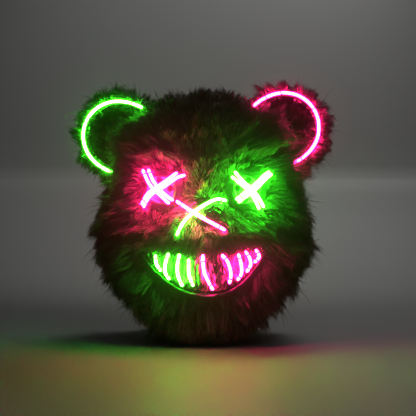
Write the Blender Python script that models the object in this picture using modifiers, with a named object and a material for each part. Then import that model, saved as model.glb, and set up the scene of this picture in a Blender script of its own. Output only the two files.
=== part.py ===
# Plush bear face mask with glowing wire strokes, standing on its chin.
# Metres, +Z up, the face towards -Y, the open back towards +Y, the underside of the chin on z = 0.

import math
import random

import bmesh
import bpy
from mathutils import Matrix, Vector
from mathutils.bvhtree import BVHTree

# Head: the moulded form under the fur
HEAD_WIDTH = 0.228
HEAD_HEIGHT = 0.270
FACE_DEPTH = 0.056
SIDE_DEPTH = 0.068
CHIN_FORWARD = 0.036
MUZZLE_REACH = 0.022
MUZZLE_WIDTH = 0.180
MUZZLE_HEIGHT = 0.150
RIM_DRAW_IN = 0.04
FACE_ROUNDNESS = 2.3
CHIN_ROUNDNESS = 1.6
MUZZLE_ROUNDNESS = 1.6
CHIN_RISE = 0.42
OUTLINE_STEP = 0.001
SHELL_WALL = 0.0025
BACKING_WALL = 0.0015
COAT_EASE = 0.0015
CLEARANCE = 0.0003

# Fur locks
LOCK_LENGTH = 0.020
FACE_LOCK_LENGTH = 0.011
LOCK_SEAT = 0.0065
LOCK_MARGIN = 0.0006

# Eyes
EYE_SPACING = 0.0925
PATCH_WIDTH = 0.047
PATCH_HEIGHT = 0.042
PATCH_WALL = 0.0012
EYE_OPENING_MARGIN = 0.0095
SOCKET_DEPTH = 0.003
SOCKET_TILT = 0.5
SOCKET_BLEND = 0.6
BUTTON_DIAMETER = 0.0336
BUTTON_THICKNESS = 0.0036
BUTTON_RIM_WIDTH = 0.0034
BUTTON_RIM_RISE = 0.0012
BUTTON_HOLE = 0.0068
BUTTON_HOLE_CIRCLE = 0.0217

# Nose and mouth
NOSE_WIDTH = 0.039
NOSE_HEIGHT = 0.029
NOSE_THICKNESS = 0.008
MOUTH_WIDTH = 0.150
MOUTH_DROP = 0.057
MOUTH_TOP_SAG = 0.15
MOUTH_SQUARENESS = 2.4
MOUTH_LEAN = 0.1
PANEL_WALL = 0.0015
PANEL_BULGE = 0.0035
PLEAT_DEPTH = 0.0008
LIP_DIAMETER = 0.0062
LIP_CORNER_SHARE = 0.42
LIP_SWELL = 0.7

# Ears
EAR_DIAMETER = 0.092
EAR_THICKNESS = 0.026
EAR_SET_OUT = 0.012
EAR_SET_BACK = 0.016
EAR_LINING_WALL = 0.0015
EAR_STEPS = 26
EAR_LOCK_LENGTH = 0.015

# Glowing wire and strap
WIRE_DIAMETER = 0.0032
WIRE_STEP = 0.006
EAR_ARC_RADIUS = 0.039
EAR_ARC_SHIFT = 0.0045
EAR_ARC_FLARE = 0.09
STRAP_WIDTH = 0.025
STRAP_WALL = 0.0015
STRAP_BOW = 0.036
STRAP_STEP = 0.009

# Where things sit, as shares of the head's height from the chin
FACE_CENTRE_LEVEL = 0.55
MUZZLE_LEVEL = 0.38
EYE_LEVEL = 0.632
NOSE_LEVEL = 0.548
MOUTH_LEVEL = 0.410
STRAP_LEVEL = 0.640

# Small shifts of the middle of the nose and the mouth, as shares of their own width
NOSE_SHIFT = 0.07
MOUTH_SHIFT = -0.02

AROUND = 48
FLAT_COLUMNS = 2
RING_SHARES = (0.10, 0.22, 0.34, 0.46, 0.58, 0.70, 0.81, 0.91, 1.0)
SIDE_SHARES = (0.25, 0.5, 0.75, 1.0)
UNDERSIDE = BACKING_WALL + CLEARANCE
WIRE_RADIUS = WIRE_DIAMETER / 2

# Front outline: share of the head's height, share of its half width
OUTLINE = (
    (0.000, 0.24),
    (0.030, 0.340),
    (0.130, 0.555),
    (0.235, 0.785),
    (0.320, 0.915),
    (0.430, 1.000),
    (0.545, 0.925),
    (0.630, 0.830),
    (0.710, 0.800),
    (0.790, 0.785),
    (0.870, 0.700),
    (0.935, 0.575),
    (0.982, 0.385),
    (1.000, 0.170),
)

# Ears: name, side, share of the head's height, first and last angle of the glowing arc in degrees,
# and the angle towards which the arc is laid off centre
EARS = (
    ("left", -1, 0.853, 51, 264, 180),
    ("right", 1, 0.873, 143, -77, 85),
)

# Glowing strokes over each eye, x and z in button radii from the middle of the button.
# The last column is the layer: 1 passes over 0.
EYE_STROKES = {
    "left": (
        (((-1.18, 1.18), (-0.89, 0.61), (-0.62, 0.19), (-0.31, -0.11), (0.43, -0.79)), 0),
        (((-0.81, 1.22), (-0.51, 0.60), (-0.26, 0.24), (0.16, -0.22), (0.66, -0.60)), 0),
        (((-1.24, -0.88), (-1.00, -0.42), (-0.75, -0.12), (-0.36, 0.13), (0.27, 0.56), (0.93, 1.04)), 1),
        (((-1.12, -1.04), (-0.82, -0.50), (-0.58, -0.24), (-0.24, -0.05), (0.40, 0.36), (1.02, 0.79),
          (1.41, 0.92)), 1),
    ),
    "right": (
        (((-0.87, 0.79), (-0.39, 0.41), (0.18, -0.08), (0.51, -0.56), (0.80, -1.17)), 0),
        (((-0.69, 1.09), (-0.25, 0.57), (0.32, 0.08), (0.74, -0.44), (1.09, -1.05)), 0),
        (((-0.59, -0.54), (0.17, 0.04), (0.65, 0.45), (1.07, 0.86), (1.43, 1.11)), 1),
        (((-0.44, -0.72), (0.33, -0.14), (0.81, 0.27), (1.23, 0.68), (1.59, 0.95)), 1),
    ),
}

# Glowing strokes over the nose, x and z in half nose sizes from its middle, and the layer
NOSE_STROKES = {
    "pink": (((-1.58, 0.66), (-1.06, 0.25), (-0.13, -0.47), (0.42, -0.88), (0.93, -1.27)), 0),
    "green": (((-1.58, -1.61), (-1.28, -0.84), (-0.68, 0.01), (0.23, 0.75), (0.69, 0.91), (1.02, 0.80)), 1),
}

# Glowing strokes of the grin, left to right: x in half mouth widths, z in mouth drops below the corners
TOOTH_STROKES = (
    ((-0.648, 0.20), (-0.633, 0.33), (-0.588, 0.43)),
    ((-0.473, 0.16), (-0.505, 0.31), (-0.512, 0.47), (-0.465, 0.59)),
    ((-0.310, 0.17), (-0.334, 0.34), (-0.326, 0.52), (-0.275, 0.71)),
    ((-0.173, 0.26), (-0.169, 0.49), (-0.120, 0.70)),
    ((0.028, 0.18), (0.040, 0.42), (0.100, 0.63), (0.160, 0.78)),
    ((0.316, 0.17), (0.378, 0.27), (0.424, 0.48), (0.410, 0.65)),
    ((0.540, 0.17), (0.574, 0.35), (0.574, 0.51), (0.535, 0.60)),
    ((0.650, 0.12), (0.706, 0.26), (0.700, 0.38), (0.665, 0.45)),
    ((0.800, 0.10), (0.836, 0.18), (0.782, 0.28)),
)

FUR_BROWN = (0.045, 0.026, 0.018)
INK = (0.012, 0.010, 0.010)
GREEN_GLOW = (0.20, 1.0, 0.10)
PINK_GLOW = (1.0, 0.16, 0.45)


def finish(obj, colour, roughness, glow=0.0):
    material = bpy.data.materials.new(obj.name)
    material.use_nodes = True
    shader = material.node_tree.nodes["Principled BSDF"]
    shader.inputs["Base Color"].default_value = (*colour, 1)
    shader.inputs["Roughness"].default_value = roughness
    shader.inputs["Metallic"].default_value = 0.0
    shader.inputs["Emission Color"].default_value = (*colour, 1)
    shader.inputs["Emission Strength"].default_value = glow
    obj.data.materials.clear()
    obj.data.materials.append(material)


def new_collection(name):
    collection = bpy.data.collections.new(name)
    bpy.context.scene.collection.children.link(collection)
    return collection


def add_object(name, data, collection):
    obj = bpy.data.objects.new(name, data)
    collection.objects.link(obj)
    return obj


def evaluated_mesh(obj):
    bpy.context.view_layer.update()
    graph = bpy.context.evaluated_depsgraph_get()
    mesh = bpy.data.meshes.new_from_object(obj.evaluated_get(graph))
    mesh.transform(obj.matrix_world)
    return mesh


def apply_all(obj):
    """Replaces the object's modifiers and its placing by the mesh that they make."""
    mesh = evaluated_mesh(obj)
    obj.modifiers.clear()
    obj.data = mesh
    obj.matrix_world = Matrix.Identity(4)


def surface_of(*objects):
    """One search tree over the surfaces of these objects, as they are now."""
    points = []
    faces = []
    for obj in objects:
        mesh = evaluated_mesh(obj)
        start = len(points)
        points += [vertex.co.copy() for vertex in mesh.vertices]
        faces += [[start + i for i in face.vertices] for face in mesh.polygons]
        bpy.data.meshes.remove(mesh)
    return BVHTree.FromPolygons(points, faces)


def loft(name, collection, rings, first_pole=None, last_pole=None, closed_ends=False):
    """A skin over rings of equal count. A pole closes an end with a fan, closed_ends with a flat face."""
    bm = bmesh.new()
    rows = [[bm.verts.new(point) for point in ring] for ring in rings]
    count = len(rows[0])
    for low, high in zip(rows, rows[1:]):
        for i in range(count):
            j = (i + 1) % count
            bm.faces.new((low[i], low[j], high[j], high[i]))
    for pole, row, turn in ((first_pole, rows[0], 1), (last_pole, rows[-1], -1)):
        if pole is not None:
            tip = bm.verts.new(pole)
            for i in range(count):
                j = (i + 1) % count
                bm.faces.new((tip, row[j], row[i])[::turn])
        elif closed_ends:
            bm.faces.new(row[::-turn])
    mesh = bpy.data.meshes.new(name)
    bmesh.ops.recalc_face_normals(bm, faces=bm.faces)
    bm.to_mesh(mesh)
    bm.free()
    return add_object(name, mesh, collection)


def between(low, high, share):
    return low + (high - low) * share


def smooth_step(value):
    value = min(max(value, 0.0), 1.0)
    return value * value * (3 - 2 * value)


def smooth_path(points, step):
    """Points every step along a smooth curve through the given ones, both ends kept."""
    points = [Vector(point) for point in points]
    padded = [2 * points[0] - points[1], *points, 2 * points[-1] - points[-2]]
    fine = []
    for a, b, c, d in zip(padded, padded[1:], padded[2:], padded[3:]):
        for i in range(24):
            t = i / 24
            fine.append(0.5 * (2 * b + (c - a) * t + (2 * a - 5 * b + 4 * c - d) * t ** 2
                               + (3 * b - a - 3 * c + d) * t ** 3))
    fine.append(points[-1])
    return evenly(fine, step)


def evenly(fine, step):
    lengths = [0.0]
    for a, b in zip(fine, fine[1:]):
        lengths.append(lengths[-1] + (b - a).length)
    count = max(2, round(lengths[-1] / step))
    result = []
    at = 0
    for i in range(count + 1):
        goal = lengths[-1] * i / count
        while at < len(fine) - 2 and lengths[at + 1] < goal:
            at += 1
        span = lengths[at + 1] - lengths[at]
        result.append(fine[at].lerp(fine[at + 1], (goal - lengths[at]) / span if span else 0.0))
    return result


# The head's form

def level(share):
    return UNDERSIDE + share * HEAD_HEIGHT


def head_outline():
    """The front outline as fine points from the middle of the underside round the right side and back."""
    half = HEAD_WIDTH / 2
    right = [(half * width, level(height), 0) for height, width in OUTLINE]
    right.append((0, level(1.0), 0))
    curve = smooth_path(right, OUTLINE_STEP)
    flat = [Vector((half * OUTLINE[0][1] * i / 20, level(0), 0)) for i in range(20)]
    side = flat + curve
    mirrored = [Vector((-point.x, point.y, point.z)) for point in side[-2:0:-1]]
    side = [(point.x, point.y) for point in side]
    mirrored = [(point.x, point.y) for point in mirrored]
    return side + mirrored


HEAD_OUTLINE = head_outline()
FACE_CENTRE = level(FACE_CENTRE_LEVEL)


def reach_table():
    """Angle round the middle of the face against the distance to the outline, in order of the angle."""
    rows = [(math.atan2(z - FACE_CENTRE, x), math.hypot(x, z - FACE_CENTRE)) for x, z in HEAD_OUTLINE]
    rows.sort()
    return rows


REACH = reach_table()


def outline_reach(angle):
    low, high = 0, len(REACH) - 1
    while high - low > 1:
        middle = (low + high) // 2
        if REACH[middle][0] <= angle:
            low = middle
        else:
            high = middle
    return REACH[low][1]


def half_width(height_share):
    goal = level(height_share)
    right = [point for point in HEAD_OUTLINE if point[0] >= 0]
    return min(right, key=lambda point: abs(point[1] - goal))[0]


def widest_y(z):
    """How far forward the head is at its outline: the chin comes forward, the rest does not."""
    return -CHIN_FORWARD * smooth_step(1 - (z - level(0)) / (CHIN_RISE * HEAD_HEIGHT))


def hump(x, z, middle_x, middle_z, width, height):
    square = ((x - middle_x) / (width / 2)) ** 2 + ((z - middle_z) / (height / 2)) ** 2
    return max(0.0, 1 - square) ** MUZZLE_ROUNDNESS


def dome_y(x, z):
    """The face's depth without its eye sockets."""
    angle = math.atan2(z - FACE_CENTRE, x)
    reach = outline_reach(angle)
    share = min(1.0, math.hypot(x, z - FACE_CENTRE) / reach)
    edge = widest_y(FACE_CENTRE + reach * math.sin(angle))
    roundness = FACE_ROUNDNESS + CHIN_ROUNDNESS * max(0.0, -math.sin(angle)) ** 2
    y = edge - (FACE_DEPTH + edge) * math.sqrt(max(0.0, 1 - share ** roundness))
    y -= MUZZLE_REACH * hump(x, z, 0, level(MUZZLE_LEVEL), MUZZLE_WIDTH, MUZZLE_HEIGHT)
    return y


def eye_middle(side):
    return side * EYE_SPACING / 2, level(EYE_LEVEL)


def face_y(x, z, relief=0.0):
    """The face's depth, flattened in the sockets so that the eyes have a seat. Relief deepens and widens them."""
    y = dome_y(x, z)
    for side in (-1, 1):
        eye_x, eye_z = eye_middle(side)
        step = PATCH_WIDTH / 4
        slope_x = (dome_y(eye_x + step, eye_z) - dome_y(eye_x - step, eye_z)) / (2 * step)
        slope_z = (dome_y(eye_x, eye_z + step) - dome_y(eye_x, eye_z - step)) / (2 * step)
        tilt = SOCKET_TILT * (slope_x * (x - eye_x) + slope_z * (z - eye_z))
        seat = dome_y(eye_x, eye_z) + tilt + SOCKET_DEPTH + relief
        wider = 2 * relief / PATCH_HEIGHT
        away = math.hypot((x - eye_x) / (PATCH_WIDTH / 2), (z - eye_z) / (PATCH_HEIGHT / 2))
        y = between(seat, y, smooth_step((away - 1.0 - wider) / SOCKET_BLEND))
    return y


def head_rings(step=1, relief=0.0):
    """Rings of the head's form from the middle of the face to the open rim, every step-th column."""
    fine = [Vector((x, 0, z)) for x, z in HEAD_OUTLINE]
    corner = HEAD_WIDTH / 2 * OUTLINE[0][1]
    columns = [Vector((corner * i / FLAT_COLUMNS, 0, level(0))) for i in range(FLAT_COLUMNS)]
    round_side = [point for point in fine[:len(fine) // 2 + 1] if point.x >= corner or point.z > level(0)]
    length = sum((b - a).length for a, b in zip(round_side, round_side[1:]))
    columns += evenly(round_side, length / (AROUND // 2 - FLAT_COLUMNS))
    columns += [Vector((-point.x, 0, point.z)) for point in columns[-2:0:-1]]
    columns = columns[::step]
    rings = []
    for share in RING_SHARES[:-1]:
        ring = []
        for point in columns:
            x = share * point.x
            z = between(FACE_CENTRE, point.z, share)
            ring.append((x, face_y(x, z, relief), z))
        rings.append(ring)
    for share in (0.0, *SIDE_SHARES):
        draw_in = 1 - RIM_DRAW_IN * share ** 2
        ring = []
        for point in columns:
            z = between(FACE_CENTRE, point.z, draw_in) if point.z > FACE_CENTRE else point.z
            ring.append((point.x * draw_in, between(widest_y(point.z), SIDE_DEPTH, share), z))
        rings.append(ring)
    return rings


def head_form(name, collection, step=1, relief=0.0):
    pole = (0, face_y(0, FACE_CENTRE, relief), FACE_CENTRE)
    return loft(name, collection, head_rings(step, relief), first_pole=pole)


def move_out(obj, distance):
    shift = obj.modifiers.new("gap", "DISPLACE")
    shift.direction = "NORMAL"
    shift.mid_level = 0.0
    shift.strength = distance


def add_wall(obj, gap, wall, outward):
    """Moves an open surface by the gap along its normals, and gives it a wall on the outer or inner side."""
    move_out(obj, gap)
    solid = obj.modifiers.new("wall", "SOLIDIFY")
    solid.thickness = wall
    solid.offset = 1.0 if outward else -1.0
    solid.use_even_offset = not outward
    solid.material_offset = 1
    solid.material_offset_rim = 1


def cut(obj, cutter, operation="DIFFERENCE"):
    boolean = obj.modifiers.new("cut by " + cutter.name, "BOOLEAN")
    boolean.operation = operation
    boolean.solver = "EXACT"
    boolean.object = cutter


def as_cutter(obj):
    obj.hide_render = True
    obj.display_type = "WIRE"
    return obj


def head_cutter(name, gap):
    """The head as a solid plug, the gap larger all round than the coat's backing, closed behind the ears."""
    end = SIDE_DEPTH + EAR_DIAMETER
    rings = head_rings()
    rings.append([(x, end, z) for x, _, z in rings[-1]])
    obj = loft(name, cutters, rings, (0, face_y(0, FACE_CENTRE), FACE_CENTRE), (0, end, FACE_CENTRE))
    move_out(obj, CLEARANCE + BACKING_WALL + gap)
    return as_cutter(obj)


def eye_opening(side, name):
    """An oval plug through the front wall, smaller all round than the patch that covers the opening."""
    bm = bmesh.new()
    bmesh.ops.create_cone(bm, cap_ends=True, segments=20, radius1=0.5, radius2=0.5, depth=1)
    mesh = bpy.data.meshes.new("eye_opening_" + name)
    bm.to_mesh(mesh)
    bm.free()
    cutter = add_object(mesh.name, mesh, cutters)
    x, z = eye_middle(side)
    depth = FACE_DEPTH + MUZZLE_REACH
    cutter.rotation_euler = (math.pi / 2, 0, 0)
    cutter.scale = (PATCH_WIDTH - 2 * EYE_OPENING_MARGIN, PATCH_HEIGHT - 2 * EYE_OPENING_MARGIN, depth)
    cutter.location = (x, -0.7 * depth, z)
    return as_cutter(cutter)


def front_of(surface, x, z, reach=0.0):
    """The frontmost y of the surface within reach of (x, z)."""
    spots = [(0, 0)]
    if reach:
        spots += [(math.cos(k * math.pi / 4), math.sin(k * math.pi / 4)) for k in range(8)]
    found = []
    for dx, dz in spots:
        hit = surface.ray_cast(Vector((x + reach * dx, -1, z + reach * dz)), Vector((0, 1, 0)))[0]
        if hit is not None:
            found.append(hit.y)
    return min(found) if found else surface.find_nearest(Vector((x, -FACE_DEPTH, z)))[0].y


# Pieces of the face

def pad(name, surface, plug, middle, outline, thickness, edge, shares=(1.0, 0.8, 0.5, 0.2)):
    """A pad on the surface: its outline is a list of x and z from its middle. Its back is cut to the plug."""
    mid_x, mid_z = middle

    def spot(x, z, rise):
        return mid_x + x, front_of(surface, mid_x + x, mid_z + z) - CLEARANCE - rise, mid_z + z

    rings = [[spot(x, z, -thickness) for x, z in outline]]
    for share in shares:
        rise = edge + (thickness - edge) * math.sqrt(1 - share ** 2)
        rings.append([spot(share * x, share * z, rise) for x, z in outline])
    obj = loft(name, parts, rings, first_pole=spot(0, 0, -thickness), last_pole=spot(0, 0, thickness))
    cut(obj, plug)
    return obj


def oval(width, height, count, point_down=0.0):
    """An oval, or with point_down a rounded triangle whose tip is below."""
    outline = []
    for i in range(count):
        angle = 2 * math.pi * i / count
        narrow = 1 - point_down * smooth_step(0.5 - 0.5 * math.sin(angle))
        outline.append((math.cos(angle) * narrow, height / 2 * math.sin(angle)))
    widest = max(x for x, _ in outline)
    return [(x / widest * width / 2, z) for x, z in outline]


def eye_button(name, side, surface):
    """A turned button with a raised rim and four holes, on the patch."""
    radius = BUTTON_DIAMETER / 2
    inner = radius - BUTTON_RIM_WIDTH
    top = BUTTON_THICKNESS
    floor = top - BUTTON_RIM_RISE
    profile = (
        (0, floor),
        (inner, floor),
        (inner + 0.25 * BUTTON_RIM_WIDTH, top),
        (radius - 0.25 * BUTTON_RIM_WIDTH, top),
        (radius, 0.6 * top),
        (radius - 0.2 * BUTTON_RIM_WIDTH, 0),
        (0, 0),
    )
    button = turned(name, parts, profile, 20)
    x, z = eye_middle(side)
    spin = Matrix.Rotation(math.pi / 2, 4, "X")
    spot = PATCH_WIDTH / 4
    slope_x = (front_of(surface, x + spot, z) - front_of(surface, x - spot, z)) / (2 * spot)
    slope_z = (front_of(surface, x, z + spot) - front_of(surface, x, z - spot)) / (2 * spot)
    facing = Vector((slope_x, -1, slope_z)).normalized()
    turn = Vector((0, -1, 0)).rotation_difference(facing).to_matrix().to_4x4()
    back = front_of(surface, x, z)
    for k in range(16):
        across = Vector((radius * math.cos(k * math.pi / 8), 0, radius * math.sin(k * math.pi / 8)))
        for share in (0.5, 1.0):
            point = share * across
            plane = slope_x * point.x + slope_z * point.z
            back = min(back, front_of(surface, x + point.x, z + point.z) - plane)
    button.matrix_world = Matrix.Translation((x, back - CLEARANCE, z)) @ turn @ spin
    for k in range(4):
        hole = cylinder(f"{name}_hole_{k + 1}", BUTTON_HOLE / 2, 3 * BUTTON_THICKNESS, 8)
        angle = k * math.pi / 2
        out = BUTTON_HOLE_CIRCLE / 2
        offset = Matrix.Translation((out * math.cos(angle), out * math.sin(angle), BUTTON_THICKNESS / 2))
        hole.matrix_world = button.matrix_world @ offset
        cut(button, hole)
    return button


def cylinder(name, radius, length, count):
    bm = bmesh.new()
    bmesh.ops.create_cone(bm, cap_ends=True, segments=count, radius1=radius, radius2=radius, depth=length)
    mesh = bpy.data.meshes.new(name)
    bm.to_mesh(mesh)
    bm.free()
    return as_cutter(add_object(name, mesh, cutters))


def turned(name, collection, profile, steps):
    """A profile of radius and height, top to bottom down its outer side, turned about its own Z."""
    mesh = bpy.data.meshes.new(name)
    mesh.from_pydata([(r, 0, h) for r, h in profile], [(i, i + 1) for i in range(len(profile) - 1)], [])
    obj = add_object(name, mesh, collection)
    screw = obj.modifiers.new("turn", "SCREW")
    screw.axis = "Z"
    screw.steps = steps
    screw.render_steps = steps
    screw.use_merge_vertices = True
    screw.merge_threshold = 0.00005
    screw.use_normal_calculate = True
    return obj


def mouth_middle():
    return MOUTH_SHIFT * MOUTH_WIDTH, level(MOUTH_LEVEL)


def mouth_edges(count):
    """Top and bottom edge of the grin from corner to corner, as x and z."""
    mid_x, corner_z = mouth_middle()
    top = []
    bottom = []
    for i in range(count + 1):
        u = -math.cos(math.pi * i / count)
        x = mid_x + u * MOUTH_WIDTH / 2
        top.append(Vector((x, 0, corner_z - MOUTH_DROP * MOUTH_TOP_SAG * (1 - u * u))))
        drop = 1 - abs(u - MOUTH_LEAN * (1 - u * u)) ** MOUTH_SQUARENESS
        bottom.append(Vector((x, 0, corner_z - MOUTH_DROP * drop)))
    return top, bottom


def lip_radius(share):
    """Thick under the middle of the grin, thin at its corners."""
    swell = math.sin(math.pi * share) ** LIP_SWELL
    return LIP_DIAMETER / 2 * between(LIP_CORNER_SHARE, 1.0, swell)


def inward(path, i):
    ahead = (path[min(i + 1, len(path) - 1)] - path[max(i - 1, 0)]).normalized()
    return Vector((-ahead.z, 0, ahead.x))


def wire(name, collection, points, radius, radii=None):
    curve = bpy.data.curves.new(name, "CURVE")
    curve.dimensions = "3D"
    curve.bevel_depth = radius
    curve.bevel_resolution = 2
    curve.use_fill_caps = True
    spline = curve.splines.new("POLY")
    spline.points.add(len(points) - 1)
    for i, point in enumerate(points):
        spline.points[i].co = (*point, 1)
        spline.points[i].radius = radii[i] / radius if radii else 1.0
    return add_object(name, curve, collection)


def draped(route, surface, radius, step, rise=None):
    """A route of x and z laid over the surface: it keeps clear of it and is pulled straight over hollows."""
    spots = smooth_path([(x, 0, z) for x, z in route], step)
    room = radius + CLEARANCE
    height = [front_of(surface, spot.x, spot.z, room) - room for spot in spots]
    if rise:
        height = [y - rise(spot) for y, spot in zip(height, spots)]
    for _ in range(4):
        for i in range(len(spots) - 1):
            for share in (0.25, 0.5, 0.75):
                spot = spots[i].lerp(spots[i + 1], share)
                short = between(height[i], height[i + 1], share) - (front_of(surface, spot.x, spot.z, room) - room)
                if short > 0:
                    height[i] -= short
                    height[i + 1] -= short
    return [Vector((spot.x, y, spot.z)) for spot, y in zip(spots, height)]


def mouth_lip(surface):
    _, bottom = mouth_edges(20)
    points = []
    radii = []
    for i, point in enumerate(bottom):
        share = i / (len(bottom) - 1)
        radius = lip_radius(share)
        spot = point + radius * inward(bottom, i)
        points.append(Vector((spot.x, front_of(surface, spot.x, spot.z, radius) - radius - CLEARANCE, spot.z)))
        radii.append(radius)
    return wire("mouth_lip", parts, points, LIP_DIAMETER / 2, radii)


def mouth_panel(surface):
    """The creased panel between the hidden top edge and the lip: sections from corner to corner."""
    top, bottom = mouth_edges(26)
    rows = (0.0, 0.22, 0.45, 0.7, 0.88, 1.0)
    rings = []
    for i in range(3, len(top) - 3):
        share = i / (len(top) - 1)
        low = bottom[i] + (2 * lip_radius(share) + 6 * CLEARANCE) * inward(bottom, i)
        front = []
        for v in rows:
            spot = top[i].lerp(low, v)
            seat = front_of(surface, spot.x, spot.z) - CLEARANCE
            pleat = PLEAT_DEPTH * (1 + math.cos(math.pi * i + 5 * v)) if 0 < v < 1 else 0.0
            rise = PANEL_WALL + PANEL_BULGE * math.sin(math.pi * v) * math.sin(math.pi * share) + pleat
            front.append((spot.x, seat - rise, spot.z))
        back = [(x, y + 3 * PANEL_WALL + PANEL_BULGE, z) for x, y, z in (front[-1], front[0])]
        rings.append(front + back)
    obj = loft("mouth_panel", parts, rings, closed_ends=True)
    cut(obj, head_plug)
    return obj


# Ears

def ear_place(side, height_share):
    x = side * (half_width(height_share) + EAR_SET_OUT)
    spin = Matrix.Rotation(math.pi / 2, 4, "X")
    return Matrix.Translation((x, EAR_SET_BACK, level(height_share))) @ spin


def ear_profile():
    """Front lip, dish and rounded back of the fur ear: radius and height, front up."""
    radius = EAR_DIAMETER / 2
    thick = EAR_THICKNESS
    return (
        (0, -0.20 * thick),
        (0.40 * radius, -0.16 * thick),
        (0.70 * radius, 0.10 * thick),
        (0.84 * radius, 0.36 * thick),
        (0.94 * radius, 0.30 * thick),
        (radius, 0.04 * thick),
        (0.93 * radius, -0.28 * thick),
        (0.68 * radius, -0.52 * thick),
        (0, -0.64 * thick),
    )


def ear_lining_profile():
    front = []
    for r, h in ear_profile()[:4]:
        front.append((0.96 * r, h + 3 * CLEARANCE + EAR_LINING_WALL))
    back = [(r, h - EAR_LINING_WALL) for r, h in front[::-1]]
    return tuple(front + back)


def build_ear(name, side, height_share, head_plug):
    body = turned("ear_fur_" + name, parts, ear_profile(), EAR_STEPS)
    lining = turned("ear_inner_" + name, parts, ear_lining_profile(), 24)
    for obj in (body, lining):
        obj.matrix_world = ear_place(side, height_share)
        cut(obj, head_plug)
    return body, lining


def ear_arc(name, side, height_share, first, last, shift_angle, surface):
    """The glowing arc round the front lip of the ear, its ends turned a little outwards."""
    centre = ear_place(side, height_share).translation
    mid_x = centre.x + EAR_ARC_SHIFT * math.cos(math.radians(shift_angle))
    mid_z = centre.z + EAR_ARC_SHIFT * math.sin(math.radians(shift_angle))
    route = []
    for i in range(25):
        share = i / 24
        angle = math.radians(between(first, last, share))
        radius = EAR_ARC_RADIUS * (1 + EAR_ARC_FLARE * abs(2 * share - 1) ** 6)
        route.append((mid_x + radius * math.cos(angle), mid_z + radius * math.sin(angle)))
    points = draped(route, surface, WIRE_RADIUS, 1.3 * WIRE_STEP)
    return wire("ear_light_" + name, parts, points, WIRE_RADIUS)


# Fur locks

def triangles_of(corners, tip):
    points = [*corners, tip]
    last = len(corners)
    return points, [(i, (i + 1) % last, last) for i in range(last)]


def grows_clear(corners, tip, taken):
    """Whether a lock of this shape, a little larger, stays clear of every surface in taken."""
    middle = sum(corners, Vector()) / len(corners)
    wide = [corner + LOCK_MARGIN * (corner - middle).normalized() for corner in corners]
    far = tip + 2 * LOCK_MARGIN * (tip - middle).normalized()
    near = middle + 2 * LOCK_MARGIN * (tip - middle).normalized()
    points, faces = triangles_of(wide, far)
    extra, more = triangles_of([corner.lerp(near, 0.02) for corner in wide], near)
    lock = BVHTree.FromPolygons(points, faces)
    flat = BVHTree.FromPolygons(extra, more)
    return not any(lock.overlap(tree) or flat.overlap(tree) for tree in taken)


def add_locks(obj, flow, length_at, taken, seed):
    """Draws each free outer face of the coat out into a leaning lock."""
    draw = random.Random(seed)
    bm = bmesh.new()
    bm.from_mesh(obj.data)
    bm.normal_update()
    outer = [face for face in bm.faces if face.material_index == 0 and len(face.verts) == 4]
    outer.sort(key=lambda face: tuple(round(value, 5) for value in face.calc_center_median()))
    for face in outer:
        middle = face.calc_center_median()
        long = length_at(middle) * draw.uniform(0.72, 1.15)
        turn = draw.uniform(-0.35, 0.35)
        lean = draw.uniform(0.85, 1.35)
        if long <= 0 or face.calc_area() < LOCK_SEAT ** 2:
            continue
        normal = face.normal.copy()
        along = flow(middle)
        along -= normal * along.dot(normal)
        if along.length < 1e-6:
            continue
        along = Matrix.Rotation(turn, 3, normal) @ along.normalized()
        corners = [vertex.co.copy() for vertex in face.verts]
        for share in (1.0, 0.7, 0.45):
            tip = middle + share * long * (normal + lean * along).normalized()
            tip.z = max(tip.z, 2 * CLEARANCE)
            if (tip - middle).dot(normal) < 2 * CLEARANCE:
                continue
            if grows_clear(corners, tip, taken):
                made = bmesh.ops.poke(bm, faces=[face])
                made["verts"][0].co = tip
                break
    mesh = bpy.data.meshes.new(obj.name)
    bm.to_mesh(mesh)
    bm.free()
    obj.data = mesh


def head_flow(point):
    """Fur lies away from the bridge of the nose, then down and back round the sides."""
    away = Vector((point.x, 0, point.z - level(0.60)))
    if away.length < 1e-6:
        away = Vector((0, 0, 1))
    back = smooth_step((point.y + FACE_DEPTH) / (FACE_DEPTH + SIDE_DEPTH))
    return away.normalized() + Vector((0, 0.9 * back, -0.25))


def beside_opening(point):
    for side in (-1, 1):
        x, z = eye_middle(side)
        if math.hypot((point.x - x) / PATCH_WIDTH, (point.z - z) / PATCH_HEIGHT) < 0.6 and point.y < 0:
            return True
    return False


def head_lock_length(point):
    if point.z < level(0.004) or beside_opening(point):
        return 0.0
    out = math.hypot(point.x, point.z - FACE_CENTRE) / outline_reach(math.atan2(point.z - FACE_CENTRE, point.x))
    return between(FACE_LOCK_LENGTH, LOCK_LENGTH, smooth_step((out - 0.45) / 0.4))


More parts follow.
